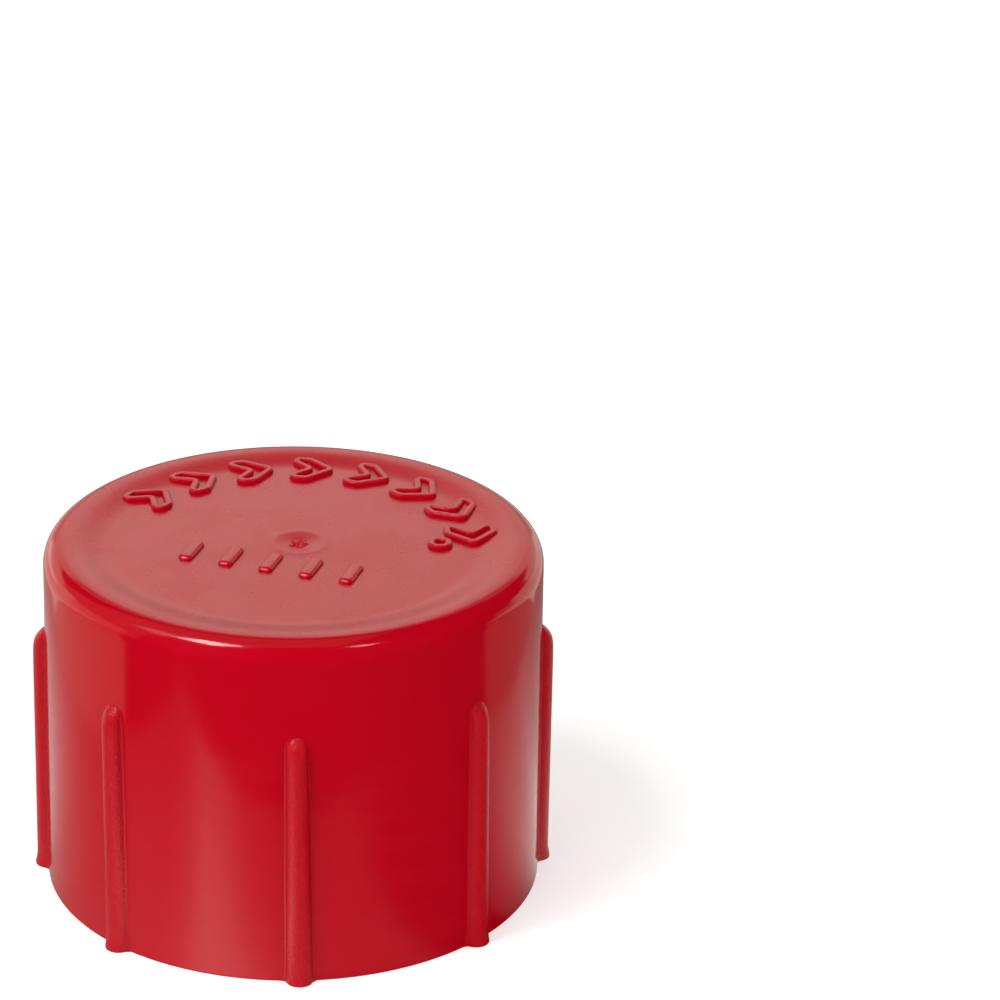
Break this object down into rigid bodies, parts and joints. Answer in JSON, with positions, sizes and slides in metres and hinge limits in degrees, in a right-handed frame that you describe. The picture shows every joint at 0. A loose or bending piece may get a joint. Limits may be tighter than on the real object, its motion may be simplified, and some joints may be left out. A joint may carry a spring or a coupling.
{
  "type": "threaded protection cap",
  "caption": "Round plastic cap, closed at one end, with an internal thread and outside grip ribs. It screws over a male pipe or tube end to keep dirt out and protect the thread.",
  "frame": {"origin": "centre of the mouth, on the plane of the rim", "axes": "+Z along the cap's axis, from the mouth to the closed end; one grip rib faces -Y"},
  "size_m": [0.0342, 0.0342, 0.0234],
  "materials": {
    "cap": "semi-gloss moulded polyethylene, red, finely grained on the closed end and the ribs"
  },
  "bodies": {
    "root": {"cap": "cap"}
  },
  "joints": []
}
